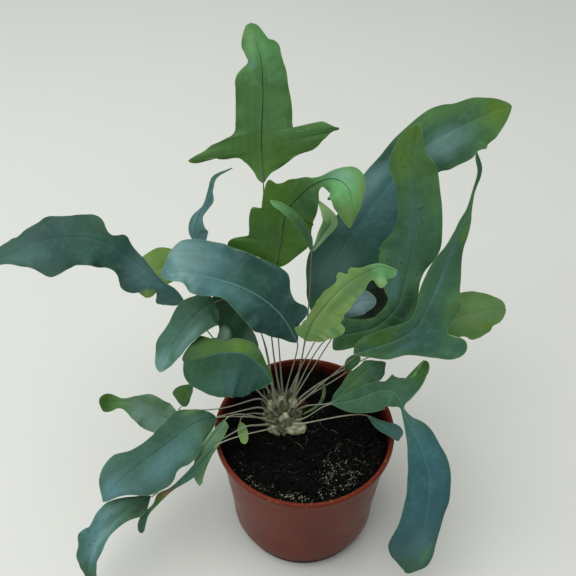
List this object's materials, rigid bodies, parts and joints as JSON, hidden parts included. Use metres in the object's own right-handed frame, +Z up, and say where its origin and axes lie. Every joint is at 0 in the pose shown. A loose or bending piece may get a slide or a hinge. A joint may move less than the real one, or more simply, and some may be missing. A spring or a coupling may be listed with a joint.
{
  "type": "potted blue star fern",
  "caption": "Blue star fern with lobed blue-green fronds rising from a furry rhizome, in a round tapered terracotta-coloured plastic nursery pot.",
  "frame": {"origin": "centre of the pot's foot, on the surface it stands on", "axes": "+Z up; +Y to the plant's back, -Y to its front; +X to its right seen from the front"},
  "size_m": [0.3266, 0.1951, 0.3246],
  "materials": {
    "terracotta_plastic": "thin moulded plastic, terracotta brown, satin gloss",
    "potting_soil": "moist black peat with bark crumbs and pale grit",
    "rhizome_fur": "matte, clothed in grey-green and straw-coloured scales",
    "stem": "wiry, satin, brown-green",
    "blue_frond": "leathery, glaucous blue-green with a waxy bloom",
    "green_frond": "leathery, olive to mid green, seen from its underside in places",
    "lime_frond": "young, thinner frond, satin yellow-green"
  },
  "bodies": {
    "root": {"bottom_left_blade": "blue_frond", "bottom_left_stem": "stem", "broad_left_blade": "blue_frond", "broad_left_stem": "stem", "broad_low_left_blade": "blue_frond", "broad_low_left_stem": "stem", "crown_blade": "green_frond", "crown_stem": "stem", "crozier": "lime_frond", "cupped_left_blade": "blue_frond", "cupped_left_stem": "stem", "drooping_left_blade": "lime_frond", "drooping_left_stem": "stem", "far_left_blade": "blue_frond", "far_left_stem": "stem", "folded_blade": "green_frond", "folded_stem": "stem", "hanging_right_blade": "blue_frond", "hanging_right_stem": "stem", "inner_right_blade": "blue_frond", "inner_right_stem": "stem", "lime_front_blade": "lime_frond", "lime_front_stem": "stem", "lime_left_blade": "lime_frond", "lime_left_stem": "stem", "lime_right_blade": "lime_frond", "lime_right_stem": "stem", "low_left_blade": "blue_frond", "low_left_stem": "stem", "low_right_blade": "blue_frond", "low_right_stem": "stem", "mid_left_blade": "blue_frond", "mid_left_stem": "stem", "middle_right_blade": "blue_frond", "middle_right_stem": "stem", "outer_right_blade": "blue_frond", "outer_right_stem": "stem", "pot": "terracotta_plastic", "rhizome": "rhizome_fur", "seedling_blade": "lime_frond", "seedling_stem": "stem", "shaded_left_blade": "green_frond", "shaded_left_stem": "stem", "small_back_blade": "green_frond", "small_back_stem": "stem", "small_left_blade": "green_frond", "small_left_stem": "stem", "small_right_blade": "blue_frond", "small_right_stem": "stem", "soil": "potting_soil", "tall_right_blade": "blue_frond", "tall_right_stem": "stem", "thin_left_blade": "blue_frond", "thin_left_stem": "stem", "twisted_blade": "blue_frond", "twisted_stem": "stem", "young_long_blade": "lime_frond", "young_long_stem": "stem", "young_short_blade": "lime_frond"}
  },
  "joints": []
}
